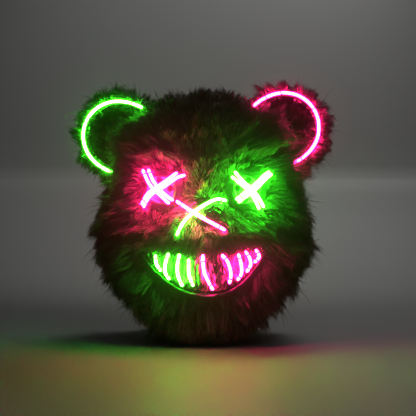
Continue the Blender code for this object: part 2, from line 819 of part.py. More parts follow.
def head_strap(surface):
    """An elastic band across the open back, bowed backwards, its ends flat on the inside of the shell."""
    z = level(STRAP_LEVEL)
    inside = []
    for y in (0.45 * SIDE_DEPTH, 0.7 * SIDE_DEPTH, 0.93 * SIDE_DEPTH):
        spots = (z - STRAP_WIDTH / 2, z, z + STRAP_WIDTH / 2)
        hits = [surface.ray_cast(Vector((0, y, spot)), Vector((1, 0, 0)))[0] for spot in spots]
        inside.append((min(hit.x for hit in hits if hit) - CLEARANCE, y))
    reach = min(x for x, _ in inside)
    half = [(reach, inside[0][1]), (reach, inside[1][1]), (reach - 3 * CLEARANCE, inside[2][1])]
    half.append((0.80 * reach, SIDE_DEPTH + 0.55 * STRAP_BOW))
    half.append((0.42 * reach, SIDE_DEPTH + 0.92 * STRAP_BOW))
    right = half + [(0, SIDE_DEPTH + STRAP_BOW)]
    route = [(x, y, 0) for x, y in right] + [(-x, y, 0) for x, y in half[::-1]]
    line = smooth_path(route, STRAP_STEP)
    sides = [Vector((-inward_plan(line, i).x, -inward_plan(line, i).y, 0)) for i in range(len(line))]
    inner = [point + STRAP_WALL * side for point, side in zip(line, sides)]
    curve = bpy.data.curves.new("head_strap", "CURVE")
    curve.dimensions = "2D"
    curve.fill_mode = "BOTH"
    curve.extrude = STRAP_WIDTH / 2
    spline = curve.splines.new("POLY")
    ring = line + inner[::-1]
    spline.points.add(len(ring) - 1)
    for i, point in enumerate(ring):
        spline.points[i].co = (point.x, point.y, 0, 1)
    spline.use_cyclic_u = True
    obj = add_object("head_strap", curve, parts)
    obj.location = (0, 0, z)
    return obj


def inward_plan(path, i):
    ahead = (path[min(i + 1, len(path) - 1)] - path[max(i - 1, 0)]).normalized()
    return Vector((ahead.y, -ahead.x, 0))


for old in list(bpy.data.objects):
    bpy.data.objects.remove(old, do_unlink=True)

parts = new_collection("bear_mask")
cutters = new_collection("cutters")

# Shell and the coat's backing, with the two eye openings
openings = [eye_opening(side, name) for side, name in ((-1, "left"), (1, "right"))]
shell = head_form("face_shell", parts, step=2, relief=3 * COAT_EASE)
add_wall(shell, -COAT_EASE, SHELL_WALL, outward=False)
coat = head_form("fur_coat", parts)
add_wall(coat, CLEARANCE, BACKING_WALL, outward=True)
for piece in (shell, coat):
    piece.data.materials.append(None)
    piece.data.materials.append(None)
    for opening in openings:
        cut(piece, opening)
    apply_all(piece)
for vertex in coat.data.vertices:
    if vertex.co.z < BACKING_WALL / 2:
        vertex.co.z = 0.0

# The head without openings or locks, which the ears and the face's pieces are cut to and sit on
head_plug = head_cutter("head_plug", CLEARANCE)
patch_plug = head_cutter("patch_plug", 2.5 * CLEARANCE)
seat_form = head_form("seat_form", cutters)
move_out(seat_form, CLEARANCE + BACKING_WALL)
as_cutter(seat_form)
seat_surface = surface_of(seat_form)

# Eyes, nose and mouth
patches = {}
buttons = {}
for side, name in ((-1, "left"), (1, "right")):
    outline = oval(PATCH_WIDTH, PATCH_HEIGHT, 20)
    patches[name] = pad(
        "eye_patch_" + name, seat_surface, patch_plug, eye_middle(side), outline,
        1.3 * PATCH_WALL, 1.2 * PATCH_WALL, (1.0, 0.6))
    buttons[name] = eye_button("eye_button_" + name, side, surface_of(patches[name]))
nose_middle = (NOSE_SHIFT * NOSE_WIDTH, level(NOSE_LEVEL))
nose_outline = oval(NOSE_WIDTH, NOSE_HEIGHT, 20, 0.45)
nose = pad("nose_pad", seat_surface, head_plug, nose_middle, nose_outline, NOSE_THICKNESS, 0.3 * NOSE_THICKNESS)
lip = mouth_lip(seat_surface)
panel = mouth_panel(seat_surface)

# Glowing strokes of the face
lights = {"green": [], "pink": []}
for (side, name), colour in zip(((-1, "left"), (1, "right")), ("pink", "green")):
    eye_x, eye_z = eye_middle(side)
    unit = BUTTON_DIAMETER / 2
    lower = []
    for number, (route, layer) in enumerate(EYE_STROKES[name], 1):
        spots = [(eye_x + unit * x, eye_z + unit * z) for x, z in route]
        under = surface_of(seat_form, patches[name], buttons[name], *(lower if layer else ()))
        stroke = wire(
            f"eye_light_{name}_{number}", parts, draped(spots, under, WIRE_RADIUS, WIRE_STEP), WIRE_RADIUS)
        lights[colour].append(stroke)
        if not layer:
            lower.append(stroke)
lower = []
for colour, (route, layer) in NOSE_STROKES.items():
    spots = [(nose_middle[0] + x * NOSE_WIDTH / 2, nose_middle[1] + z * NOSE_HEIGHT / 2) for x, z in route]
    under = surface_of(seat_form, nose, *patches.values(), *lower)
    stroke = wire("nose_light_" + colour, parts, draped(spots, under, WIRE_RADIUS, WIRE_STEP), WIRE_RADIUS)
    lights[colour].append(stroke)
    lower.append(stroke)
mouth_x, mouth_z = mouth_middle()
under = surface_of(seat_form, panel, lip)
for number, route in enumerate(TOOTH_STROKES, 1):
    spots = [(mouth_x + x * MOUTH_WIDTH / 2, mouth_z - z * MOUTH_DROP) for x, z in route]
    stroke = wire(f"tooth_light_{number}", parts, draped(spots, under, WIRE_RADIUS, WIRE_STEP), WIRE_RADIUS)
    lights["green" if number <= 4 else "pink"].append(stroke)

# Ears and their arcs
ear_bodies = []
linings = []
for (name, side, height, *arc), colour in zip(EARS, ("green", "pink")):
    body, lining = build_ear(name, side, height, head_plug)
    lights[colour].append(ear_arc(name, side, height, *arc, surface_of(body, lining)))
    ear_bodies.append(body)
    linings.append(lining)

strap = head_strap(surface_of(shell))

# Locks, drawn clear of everything that lies on the fur
every_light = lights["green"] + lights["pink"]
fittings = surface_of(*patches.values(), *buttons.values(), nose, lip, panel, *every_light)
ears_and_linings = surface_of(*ear_bodies, *linings)
add_locks(coat, head_flow, head_lock_length, (fittings, ears_and_linings), seed=3)
head_taken = surface_of(coat)
for body, (name, side, height, *_) in zip(ear_bodies, EARS):
    apply_all(body)
    place = ear_place(side, height)
    inverse = place.inverted()

    def ear_flow(point):
        local = inverse @ point
        out = Vector((local.x, local.y, 0)).normalized()
        return (place.to_3x3() @ out) + Vector((0, 0.35, 0))

    def ear_lock_length(point):
        local = inverse @ point
        at_edge = math.hypot(local.x, local.y) > 0.6 * EAR_DIAMETER / 2
        behind = local.z < 0.34 * EAR_THICKNESS
        return EAR_LOCK_LENGTH if at_edge and behind else 0.0

    add_locks(body, ear_flow, ear_lock_length, (head_taken, fittings, surface_of(*linings)), seed=11 + side)

# Finishes
for piece in (coat, *ear_bodies):
    finish(piece, FUR_BROWN, 0.9)
for piece in (*patches.values(), *linings, nose, lip, panel, strap):
    finish(piece, INK, 0.7)
for piece in (shell, *buttons.values()):
    finish(piece, INK, 0.4)
for piece in lights["green"]:
    finish(piece, GREEN_GLOW, 0.4, glow=4.0)
for piece in lights["pink"]:
    finish(piece, PINK_GLOW, 0.4, glow=4.0)
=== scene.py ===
import math

import bmesh
import bpy
import numpy as np
from mathutils import Matrix, Vector, noise
from mathutils.bvhtree import BVHTree
from mathutils.kdtree import KDTree


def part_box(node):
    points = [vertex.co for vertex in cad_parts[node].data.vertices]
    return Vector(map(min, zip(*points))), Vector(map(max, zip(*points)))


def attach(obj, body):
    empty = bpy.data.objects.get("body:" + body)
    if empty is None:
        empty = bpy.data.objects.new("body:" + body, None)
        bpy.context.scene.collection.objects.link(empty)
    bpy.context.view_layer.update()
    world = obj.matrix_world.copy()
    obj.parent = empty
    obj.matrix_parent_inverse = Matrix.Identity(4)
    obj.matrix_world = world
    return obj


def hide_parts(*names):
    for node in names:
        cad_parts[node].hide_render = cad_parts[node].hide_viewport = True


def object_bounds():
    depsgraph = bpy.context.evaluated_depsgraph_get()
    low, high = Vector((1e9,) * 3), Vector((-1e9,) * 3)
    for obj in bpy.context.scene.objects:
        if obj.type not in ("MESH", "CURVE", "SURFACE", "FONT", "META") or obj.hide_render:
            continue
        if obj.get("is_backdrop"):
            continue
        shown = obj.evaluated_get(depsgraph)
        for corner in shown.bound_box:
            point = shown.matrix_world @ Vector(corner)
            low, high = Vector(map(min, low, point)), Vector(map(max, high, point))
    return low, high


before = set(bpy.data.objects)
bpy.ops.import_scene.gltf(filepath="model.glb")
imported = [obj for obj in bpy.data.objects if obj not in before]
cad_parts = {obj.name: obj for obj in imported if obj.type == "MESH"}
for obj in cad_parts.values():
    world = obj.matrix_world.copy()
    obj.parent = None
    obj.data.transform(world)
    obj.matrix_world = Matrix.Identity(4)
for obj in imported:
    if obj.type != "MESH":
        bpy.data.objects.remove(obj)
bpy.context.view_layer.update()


# Shell: the moulded form that carries everything, dark plastic with a fine satin grain.
# It is the CAD solid itself, seen from the open back.


class Value:
    """A node's output, with arithmetic that adds Math nodes."""

    def __init__(self, tree, socket):
        self.tree = tree
        self.socket = socket

    def maths(self, operation, other):
        node = self.tree.nodes.new("ShaderNodeMath")
        node.operation = operation
        plug(self.tree, node.inputs[0], self)
        plug(self.tree, node.inputs[1], other)
        return Value(self.tree, node.outputs[0])

    def __add__(self, other):
        return self.maths("ADD", other)

    def __mul__(self, other):
        return self.maths("MULTIPLY", other)

    def __pow__(self, other):
        return self.maths("POWER", other)

    __rmul__ = __mul__


def plug(tree, slot, value):
    if isinstance(value, Value):
        tree.links.new(value.socket, slot)
    elif value is not None:
        slot.default_value = value


class Finish:
    """A material in the making, on one Principled shader."""

    def __init__(self, name, **values):
        self.material = bpy.data.materials.new(name)
        self.material.use_nodes = True
        self.tree = self.material.node_tree
        self.shader = self.tree.nodes["Principled BSDF"]
        self.place = self.node("TexCoord", output="Object")
        self.set(**values)

    def set(self, **values):
        for name, value in values.items():
            if isinstance(value, tuple):
                value = (*value, 1)
            plug(self.tree, self.shader.inputs[name.replace("_", " ").title()], value)

    def node(self, kind, settings=None, inputs=None, output=0):
        made = self.tree.nodes.new("ShaderNode" + kind)
        for name, value in (settings or {}).items():
            setattr(made, name, value)
        for name, value in (inputs or {}).items():
            plug(self.tree, made.inputs[name], value)
        return Value(self.tree, made.outputs[output])

    def blotches(self, scale, detail=3.0, stretch=None):
        where = self.place
        if stretch:
            where = self.node("Mapping", None, {"Vector": where, "Scale": stretch})
        values = {"Vector": where, "Scale": scale, "Detail": detail}
        return self.node("TexNoise", None, values, "Fac")

    def between(self, share, low, high):
        mixed = self.node("Mix", {"data_type": "RGBA"}, None, 2)
        node = mixed.socket.node
        plug(self.tree, node.inputs[0], share)
        plug(self.tree, node.inputs[6], (*low, 1) if isinstance(low, tuple) else low)
        plug(self.tree, node.inputs[7], (*high, 1) if isinstance(high, tuple) else high)
        return mixed

    def bump(self, height, depth):
        self.set(normal=self.node("Bump", None, {"Height": height, "Distance": depth}))


def dress(obj, finish):
    obj.data.materials.clear()
    obj.data.materials.append(finish.material)


def belongs(obj, finish, slot, *replaced):
    """Gives a piece its material and its body, and hides the CAD nodes that it stands for. The slot
    argument is not used.
    """
    dress(obj, finish)
    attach(obj, "root")
    if replaced:
        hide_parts(*replaced)


def piece_from(name, mesh):
    obj = bpy.data.objects.new(name, mesh)
    bpy.context.scene.collection.objects.link(obj)
    return obj


def settle(obj):
    """Replaces the modifiers by the mesh that they make."""
    graph = bpy.context.evaluated_depsgraph_get()
    mesh = bpy.data.meshes.new_from_object(obj.evaluated_get(graph))
    obj.modifiers.clear()
    obj.data = mesh
    return obj


WELD = 0.00002


def smooth_copy(name, node, levels, sharp=None):
    """The CAD node's mesh with its corners welded, subdivided and shaded smooth."""
    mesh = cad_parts[node].data.copy()
    if mesh.has_custom_normals:
        mesh.attributes.remove(mesh.attributes["custom_normal"])
    bm = bmesh.new()
    bm.from_mesh(mesh)
    bmesh.ops.remove_doubles(bm, verts=bm.verts, dist=WELD)
    bmesh.ops.recalc_face_normals(bm, faces=bm.faces)
    for face in bm.faces:
        face.smooth = True
    if sharp is not None:
        for edge in bm.edges:
            edge.smooth = edge.calc_face_angle(0.0) < sharp
    bm.to_mesh(mesh)
    bm.free()
    obj = piece_from(name, mesh)
    if levels:
        finer = obj.modifiers.new("finer", "SUBSURF")
        finer.levels = finer.render_levels = levels
        settle(obj)
    return obj


shell_finish = Finish("shell_plastic", base_color=(0.032, 0.030, 0.029), roughness=0.52)
shell_finish.bump(shell_finish.blotches(900.0, 2.0), 0.00025)
inside = smooth_copy("shell_moulding", "face_shell", 0, sharp=0.7)
belongs(inside, shell_finish, "shell", "face_shell")


# Glowing wires: round lit tubes in green and pink, laid over the face.
# Each follows the middle of its CAD rod, with ends that dip through the cloth.


LONGEST_RING_EDGE = 0.0036


def centreline(node):
    """The middles of the rod's rings, in order."""
    bm = bmesh.new()
    bm.from_mesh(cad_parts[node].data)
    bmesh.ops.remove_doubles(bm, verts=bm.verts, dist=WELD)
    bm.verts.index_update()
    ring = list(range(len(bm.verts)))

    def root(i):
        while ring[i] != i:
            i = ring[i]
        return i

    for edge in bm.edges:
        if edge.calc_length() < LONGEST_RING_EDGE:
            a, b = root(edge.verts[0].index), root(edge.verts[1].index)
            ring[a] = b
    groups = {}
    for vertex in bm.verts:
        groups.setdefault(root(vertex.index), []).append(vertex.co.copy())
    links = {key: set() for key in groups}
    for edge in bm.edges:
        a, b = root(edge.verts[0].index), root(edge.verts[1].index)
        if a != b:
            links[a].add(b)
            links[b].add(a)
    bm.free()
    middles = {key: sum(points, Vector()) / len(points) for key, points in groups.items()}
    at = min((key for key in links if len(links[key]) == 1), key=lambda key: tuple(middles[key]))
    order = [at]
    while True:
        ahead = [key for key in links[order[-1]] if key not in order]
        if not ahead:
            return [middles[key] for key in order]
        order.append(ahead[0])


def through(points, each):
    """A smooth line through the points, each stretch in equal steps."""
    padded = [2 * points[0] - points[1], *points, 2 * points[-1] - points[-2]]
    fine = []
    for a, b, c, d in zip(padded, padded[1:], padded[2:], padded[3:]):
        for i in range(each):
            t = i / each
            fine.append(0.5 * (2 * b + (c - a) * t + (2 * a - 5 * b + 4 * c - d) * t ** 2
                               + (3 * b - a - 3 * c + d) * t ** 3))
    return fine + [points[-1]]


def tube(path, radii, around=12):
    """Points and faces of a round tube with closed, flat ends."""
    path = [Vector(point) for point in path]
    side = (path[1] - path[0]).orthogonal().normalized()
    points = []
    for i, (point, radius) in enumerate(zip(path, radii)):
        ahead = (path[min(i + 1, len(path) - 1)] - path[max(i - 1, 0)]).normalized()
        side = (side - ahead * side.dot(ahead)).normalized()
        up = ahead.cross(side)
        for k in range(around):
            angle = 2 * math.pi * k / around
            points.append(point + radius * (math.cos(angle) * side + math.sin(angle) * up))
    faces = []
    for i in range(len(path) - 1):
        for k in range(around):
            j = (k + 1) % around
            faces.append((i * around + k, i * around + j,
                          (i + 1) * around + j, (i + 1) * around + k))
    last = (len(path) - 1) * around
    faces.append(tuple(range(around))[::-1])
    faces.append(tuple(range(last, last + around)))
    return points, faces


def joined(name, shapes):
    """One mesh of several lists of points and faces."""
    points = []
    faces = []
    for some, corners in shapes:
        start = len(points)
        points += [tuple(point) for point in some]
        faces += [tuple(start + i for i in face) for face in corners]
    mesh = bpy.data.meshes.new(name)
    mesh.from_pydata(points, [], faces)
    mesh.shade_smooth()
    return mesh


WIRE_RADIUS = 0.0016
GLOWS = {"green": (0.06, 1.0, 0.03), "pink": (1.0, 0.022, 0.24)}
GLOW_STRENGTH = 85.0
WIRES = (
    ("ear_wire_left", "green", ["ear_light_left"]),
    ("ear_wire_right", "pink", ["ear_light_right"]),
    ("eye_wires_left", "pink", [f"eye_light_left_{k}" for k in range(1, 5)]),
    ("eye_wires_right", "green", [f"eye_light_right_{k}" for k in range(1, 5)]),
    ("nose_wire_green", "green", ["nose_light_green"]),
    ("nose_wire_pink", "pink", ["nose_light_pink"]),
    ("tooth_wires_green", "green", [f"tooth_light_{k}" for k in range(1, 5)]),
    ("tooth_wires_pink", "pink", [f"tooth_light_{k}" for k in range(5, 10)]),
)
lines = {}
glow_finish = {}
for colour, glow in GLOWS.items():
    glow_finish[colour] = Finish(
        "wire_" + colour, base_color=glow, roughness=0.3,
        emission_color=glow, emission_strength=GLOW_STRENGTH)
for name, colour, nodes in WIRES:
    shapes = []
    for node in nodes:
        line = through(centreline(node), 5)
        lines[node] = line
        inward = Vector((0, 1, 0))
        head = (line[0] - line[2]).normalized()
        tail = (line[-1] - line[-3]).normalized()
        path = [line[0] + 0.0014 * head + 0.0028 * inward, line[0] + 0.0009 * head + 0.0010 * inward, *line,
                line[-1] + 0.0009 * tail + 0.0010 * inward, line[-1] + 0.0014 * tail + 0.0028 * inward]
        radii = [0.8 * WIRE_RADIUS, 0.95 * WIRE_RADIUS] + [WIRE_RADIUS] * len(line)
        radii += [0.95 * WIRE_RADIUS, 0.8 * WIRE_RADIUS]
        shapes.append(tube(path, radii))
    glowing = piece_from(name, joined(name, shapes))
    belongs(glowing, glow_finish[colour], "wire_" + colour, *nodes)


# Fur of the head: dark brown pile of fine tapered strands that gather into tufts, on a woven backing.
# Its roots lie on the moulded form, and it grows away from the bridge of the nose and from the eyes.


def open_skin(node, distance, keep):
    """The CAD node's outer faces as arrays of points, triangles and point normals, moved outwards."""
    bm = bmesh.new()
    bm.from_mesh(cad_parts[node].data)
    bmesh.ops.remove_doubles(bm, verts=bm.verts, dist=WELD)
    bmesh.ops.recalc_face_normals(bm, faces=bm.faces)
    bm.normal_update()
    bmesh.ops.delete(bm, geom=[face for face in bm.faces if not keep(face)], context="FACES")
    bmesh.ops.triangulate(bm, faces=bm.faces)
    bmesh.ops.smooth_vert(bm, verts=[v for v in bm.verts if not v.is_boundary], factor=0.3,
                          use_axis_x=True, use_axis_y=True, use_axis_z=True)
    bm.normal_update()
    for vertex in bm.verts:
        vertex.co += distance * vertex.normal
    bm.normal_update()
    bm.verts.index_update()
    points = np.array([vertex.co for vertex in bm.verts])
    normals = np.array([vertex.normal for vertex in bm.verts])
    triangles = np.array([[vertex.index for vertex in face.verts] for face in bm.faces])
    bm.free()
    return points, triangles, normals


def scatter(skin, count, draw):
    """Random points of the skin, evenly by area, with their normals."""
    points, triangles, normals = skin
    a, b, c = (points[triangles[:, k]] for k in range(3))
    area = np.linalg.norm(np.cross(b - a, c - a), axis=1)
    chosen = triangles[draw.choice(len(triangles), count, p=area / area.sum())]
    share = draw.random((count, 2))
    over = share.sum(axis=1) > 1
    share[over] = 1 - share[over]
    weights = np.column_stack([1 - share.sum(axis=1), share])
    spots = (points[chosen] * weights[..., None]).sum(axis=1)
    facing = unit((normals[chosen] * weights[..., None]).sum(axis=1))
    return spots, facing


def unit(vectors):
    return vectors / np.maximum(np.linalg.norm(vectors, axis=-1, keepdims=True), 1e-9)


def step_up(value):
    value = np.clip(value, 0, 1)
    return value * value * (3 - 2 * value)


def tuft_of(spots, spacing, area, draw):
    """For each root, the index of the root in the middle of its tuft."""
    leaders = draw.choice(len(spots), max(8, int(area / spacing ** 2)), replace=False)
    tree = KDTree(len(leaders))
    for leader in leaders:
        tree.insert(spots[leader], int(leader))
    tree.balance()
    return np.array([tree.find(spot)[1] for spot in spots])


def skin_area(skin):
    a, b, c = (skin[0][skin[1][:, k]] for k in range(3))
    return np.linalg.norm(np.cross(b - a, c - a), axis=1).sum() / 2


STRAY = 0.15
GATHER = 0.5
LOOSE_SHARE = 0.08


def grow(spots, facing, flow, lengths, area, draw, lift=0.95, tufts=(0.0028, 0.0085)):
    """The four points of each strand.

    A tuft's strands share a turn and a length, and meet towards its tip.
    """
    count = len(spots)
    flow = flow - facing * (flow * facing).sum(axis=1, keepdims=True)
    flow = unit(flow) * np.minimum(1, np.linalg.norm(flow, axis=1, keepdims=True) * 1.5)
    leaders = [tuft_of(spots, spacing, area, draw) for spacing in tufts]
    for leader, turn, spread in zip(leaders, (0.16, 0.30), (0.14, 0.30)):
        flow = flow + draw.normal(0, turn, (count, 3))[leader]
        lengths = lengths * draw.uniform(1 - spread, 1 + spread, count)[leader]
    loose = draw.random(count) < LOOSE_SHARE
    lengths = lengths * np.where(loose, 1.18, 1.0)
    wobble = draw.normal(0, STRAY, (count, 3)) * np.where(loose, 1.8, 1.0)[:, None]
    rows = [spots]
    for k, rise in enumerate((1.25 * lift, 0.85 * lift, 0.5 * lift)):
        curl = wobble + draw.normal(0, 0.6 * STRAY, (count, 3))
        ahead = unit(rise * facing + flow + curl + np.array([0, 0, -0.12 * k]))
        rows.append(rows[-1] + ahead * (lengths / 3)[:, None])
    strands = np.stack(rows, axis=1)
    for leader in leaders:
        offset = strands[leader] - strands
        for k, share in ((1, 0.2), (2, 0.6), (3, 1.0)):
            strands[:, k] += (GATHER * share * ~loose)[:, None] * offset[:, k]
    return strands


OFF_THE_FLOOR = 0.0006


def ribbons(name, strands, facing, draw, width=0.00054):
    """One mesh of flat tapered strands, with each point's place along its strand and its strand's shade."""
    count = len(strands)
    ahead = unit(strands[:, 3] - strands[:, 0])
    across = unit(np.cross(ahead, facing) + draw.normal(0, 0.45, (count, 3)))
    thick = width * draw.uniform(0.7, 1.3, count)
    points = np.empty((count, 7, 3))
    for k, taper in enumerate((0.9, 1.0, 0.62)):
        half = 0.5 * taper * thick[:, None] * across
        points[:, 2 * k] = strands[:, k] - half
        points[:, 2 * k + 1] = strands[:, k] + half
    points[:, 6] = strands[:, 3]
    points[..., 2] = np.maximum(points[..., 2], OFF_THE_FLOOR)
    first = 7 * np.arange(count)[:, None]
    quads = np.concatenate([first + [0, 1, 3, 2], first + [2, 3, 5, 4]])
    tips = first + [4, 5, 6]
    mesh = bpy.data.meshes.new(name)
    mesh.vertices.add(7 * count)
    mesh.vertices.foreach_set("co", points.astype(np.float32).ravel())
    corners = np.concatenate([quads.ravel(), tips.ravel()]).astype(np.int32)
    mesh.loops.add(len(corners))
    mesh.loops.foreach_set("vertex_index", corners)
    starts = np.concatenate([4 * np.arange(2 * count), 8 * count + 3 * np.arange(count)])
    mesh.polygons.add(3 * count)
    mesh.polygons.foreach_set("loop_start", starts.astype(np.int32))
    mesh.update(calc_edges=True)
    along = mesh.attributes.new("along", "FLOAT", "POINT")
    places = np.tile([0, 0, 0.4, 0.4, 0.75, 0.75, 1.0], count)
    along.data.foreach_set("value", places.astype(np.float32))
    shade = mesh.attributes.new("shade", "FLOAT", "POINT")
    shade.data.foreach_set("value", np.repeat(draw.random(count), 7).astype(np.float32))
    mesh.shade_smooth()
    return piece_from(name, mesh)


def fur_finish(name, root, tip, light):
    made = Finish(name, roughness=0.55)
    along = made.node("Attribute", {"attribute_name": "along"}, output="Fac")
    shade = made.node("Attribute", {"attribute_name": "shade"}, output="Fac")
    pile = made.between(along, root, tip)
    made.set(base_color=made.between(shade ** 3.0, pile, light))
    return made


wire_points = [point for line in lines.values() for point in line]
wire_tree = KDTree(len(wire_points))
for i, point in enumerate(wire_points):
    wire_tree.insert(point, i)
wire_tree.balance()


def clear_of_wires(strands, draw, room=0.0030, kept=0.03):
    """Which strands pass no wire closely. A few are kept that cross one."""
    clear = np.ones(len(strands), bool)
    for k in range(3):
        for share in (0.5, 1.0):
            spots = strands[:, k] + share * (strands[:, k + 1] - strands[:, k])
            for i in np.flatnonzero(clear):
                if wire_tree.find(spots[i])[2] < room:
                    clear[i] = False
    return clear | (draw.random(len(strands)) < kept)


FACE_CENTRE = np.array([0.0, 0.0, 0.1503])
BRIDGE = np.array([0.0, 0.0, 0.1638])
EYES = [np.array([side * 0.04625, 0.0, 0.1724]) for side in (-1, 1)]
NOSE = np.array([0.0027, 0.0, 0.1498])
head_skin = open_skin(
    "face_shell", 0.0033,
    lambda face: face.normal.dot(face.calc_center_median() - Vector((0, 0.09, 0.15))) > 0
    and not (face.normal.y > 0.75 and face.calc_center_median().y > 0.06))
head_tree = BVHTree.FromPolygons(head_skin[0].tolist(), head_skin[1].tolist())


def head_flow(spots):
    flat = spots * [1, 0, 1]
    away = unit(flat - BRIDGE)
    for eye in EYES:
        out = flat - eye
        reach = np.linalg.norm(out, axis=1, keepdims=True)
        away = away + 1.7 * np.exp(-np.maximum(reach - 0.022, 0) / 0.013) * unit(out)
    out = flat - NOSE
    reach = np.linalg.norm(out, axis=1, keepdims=True)
    away = away + 0.9 * np.exp(-np.maximum(reach - 0.016, 0) / 0.009) * unit(out)
    back = step_up((spots[:, 1] + 0.056) / 0.124)[:, None]
    return unit(away) + back * [0, 0.9, 0] + [0, 0, -0.22]


def face_share(spots):
    """0 at the middle of the face and 1 at the outline."""
    out = (spots - FACE_CENTRE) / [0.108, 1, 0.130]
    return np.clip(np.hypot(out[:, 0], out[:, 2]), 0, 1.2)


def head_lengths(spots, draw):
    grown = 0.0115 + 0.0125 * step_up((face_share(spots) - 0.45) / 0.45)
    beside_ears = step_up((np.abs(spots[:, 0]) - 0.058) / 0.02)
    beside_ears = beside_ears * step_up((spots[:, 2] - 0.185) / 0.02)
    grown = grown * (1 + 0.25 * beside_ears * (spots[:, 1] < 0.02))
    for eye in EYES:
        reach = np.linalg.norm((spots - eye) * [1, 0, 1], axis=1)
        grown = grown * (0.62 + 0.38 * step_up((reach - 0.022) / 0.02))
    grown = grown * (0.45 + 0.55 * step_up(spots[:, 2] / 0.050))
    crown = step_up((0.075 - np.abs(spots[:, 0])) / 0.02)
    grown = grown * (1 - 0.30 * step_up((spots[:, 2] - 0.225) / 0.03) * crown)
    patchy = np.array([noise.noise(Vector(spot) * 60.0) for spot in spots])
    return grown * draw.uniform(0.72, 1.18, len(spots)) * (1 + 0.28 * patchy)


def beside(spots, *nodes):
    """1 at these CAD nodes' surfaces, and falling to 0 some millimetres away."""
    tree = KDTree(sum(len(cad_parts[node].data.vertices) for node in nodes))
    for node in nodes:
        for i, vertex in enumerate(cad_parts[node].data.vertices):
            tree.insert(vertex.co, i)
    tree.balance()
    away = np.array([tree.find(spot)[2] for spot in spots])
    return np.exp(-np.maximum(away - 0.002, 0) / 0.005)


def tree_of(*objects):
    points, faces = [], []
    for obj in objects:
        start = len(points)
        points += [vertex.co.copy() for vertex in obj.data.vertices]
        faces += [[start + i for i in polygon.vertices] for polygon in obj.data.polygons]
    return BVHTree.FromPolygons(points, faces)


COVERING = ("eye_patch_left", "eye_patch_right", "nose_pad", "mouth_panel", "mouth_lip")
covers = tree_of(*(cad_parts[node] for node in COVERING))


def uncovered(spots, facing):
    """Which roots lie under no patch, pad or panel."""
    return np.array([
        covers.ray_cast(Vector(spot) - 0.002 * Vector(normal), Vector(normal), 0.020)[0] is None
        for spot, normal in zip(spots, facing)])


FUR_ROOT = (0.010, 0.008, 0.007)
FUR_TIP = (0.120, 0.094, 0.084)
FUR_LIGHT = (0.42, 0.34, 0.31)
fur = fur_finish("fur_pile", FUR_ROOT, FUR_TIP, FUR_LIGHT)
backing_finish = Finish("fur_backing", base_color=(0.012, 0.009, 0.008), roughness=0.9)
backing = piece_from("coat_backing", joined("coat_backing", [(head_skin[0], head_skin[1].tolist())]))
belongs(backing, backing_finish, "fur", "fur_coat")
draw = np.random.default_rng(41)
spots, facing = scatter(head_skin, 138000, draw)
free = uncovered(spots, facing) & (spots[:, 2] > 0.003)
spots, facing = spots[free], facing[free]
close = beside(spots, "mouth_lip", "nose_pad")
above_grin = step_up((spots[:, 2] - 0.106) / 0.004) * (spots[:, 2] < 0.13)
low = close * (1 - above_grin)
lengths = head_lengths(spots, draw) * (1 - 0.5 * low)
strands = grow(spots, facing, head_flow(spots), lengths, skin_area(head_skin), draw,
               lift=(0.95 - 0.65 * low)[:, None])
clear = clear_of_wires(strands, draw)
coat_strands, coat_facing = strands[clear], facing[clear]
COAT_PIECES = 4
for number in range(COAT_PIECES):
    some = slice(number, None, COAT_PIECES)
    coat = ribbons(f"coat_fur_{number + 1}", coat_strands[some], coat_facing[some], draw)
    belongs(coat, fur, "fur")


# Small pile: short hairs that lap over the rims of the eye patches, and tan tufts at the bridge
# of the nose. All are rooted in the coat's backing.


def rooted(xs, zs):
    """Roots on the coat in front of these places, with the normals there."""
    spots, normals = [], []
    for x, z in zip(xs, zs):
        hit, normal, _, _ = head_tree.ray_cast(Vector((x, -0.3, z)), Vector((0, 1, 0)))
        spots.append(hit)
        normals.append(normal)
    return np.array(spots), np.array(normals)


LASHES = 2600
draw = np.random.default_rng(57)
lash_strands, lash_facing = [], []
for eye in EYES:
    turn = draw.uniform(0, 2 * math.pi, LASHES)
    ring = draw.uniform(1.0, 1.12, LASHES)
    spots, facing = rooted(eye[0] + 0.0240 * ring * np.cos(turn),
                           eye[2] + 0.0215 * ring * np.sin(turn))
    inwards = unit((eye - spots) * [1, 0, 1])
    swirl = np.cross(inwards, [0, 1, 0]) * draw.normal(0.3, 1.3, (len(spots), 1))
    lengths = draw.uniform(0.004, 0.009, len(spots))
    lashes = grow(spots, facing, 0.8 * inwards + swirl, lengths, 0.0006, draw,
                  lift=0.9, tufts=(0.002, 0.004))
    kept = clear_of_wires(lashes, draw, room=0.0034, kept=0.0)
    lash_strands.append(lashes[kept])
    lash_facing.append(facing[kept])
lash_pile = ribbons("eye_rim_fur", np.concatenate(lash_strands), np.concatenate(lash_facing),
                    draw, 0.00038)
belongs(lash_pile, fur, "fur")

tan = fur_finish("tan_pile", (0.10, 0.055, 0.03), (0.55, 0.36, 0.20), (0.75, 0.55, 0.36))
tuft_strands, tuft_facing = [], []
TUFT_HAIRS = 110
for x, z, lean, tall in ((0.0010, 0.1735, 0.05, 0.0085), (0.0208, 0.1740, -0.12, 0.0085),
                         (-0.0035, 0.1690, -0.3, 0.006)):
    spots, facing = rooted(draw.normal(x, 0.0008, TUFT_HAIRS), draw.normal(z, 0.0006, TUFT_HAIRS))
    upwards = np.array([lean, 0, 1.0]) + draw.normal(0, 0.08, (TUFT_HAIRS, 3))
    lengths = tall * draw.uniform(0.7, 1.2, TUFT_HAIRS)
    tuft_strands.append(grow(spots, facing, upwards, lengths, 0.00002, draw,
                             lift=0.7, tufts=(0.004, 0.006)))
    tuft_facing.append(facing)
bridge = ribbons("bridge_tufts", np.concatenate(tuft_strands), np.concatenate(tuft_facing), draw)
belongs(bridge, tan, "fur")


# Ears: round fur rings on a turned body, with a dark dished lining in front.
# Pile grows outwards from the lip, and a shorter one inwards over the lining.


